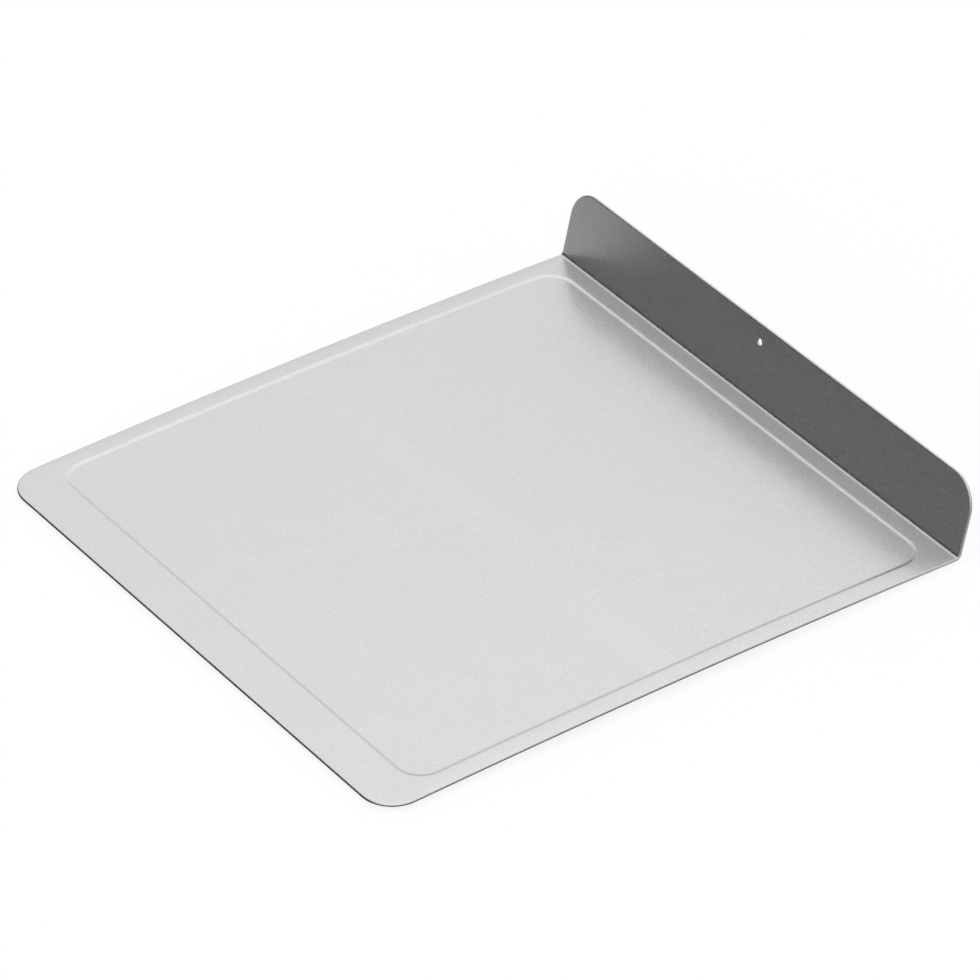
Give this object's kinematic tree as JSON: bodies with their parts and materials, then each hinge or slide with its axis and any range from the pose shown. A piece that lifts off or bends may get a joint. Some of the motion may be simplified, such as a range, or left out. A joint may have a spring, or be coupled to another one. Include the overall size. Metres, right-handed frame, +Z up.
{
  "type": "cookie sheet",
  "caption": "Flat rectangular double-walled baking sheet with a hemmed rim, a shallow recessed field and one end turned up as a grip with a hanging hole.",
  "frame": {"origin": "middle of the bounding box's bottom, on the plane that the lower sheet's floor rests on", "axes": "+X across the sheet, +Y along it towards the turned-up flange, +Z up"},
  "size_m": [0.305, 0.3298, 0.0393],
  "materials": {
    "satin_aluminium": "satin"
  },
  "bodies": {
    "root": {"top_sheet": "satin_aluminium", "base_sheet": "satin_aluminium"}
  },
  "joints": []
}
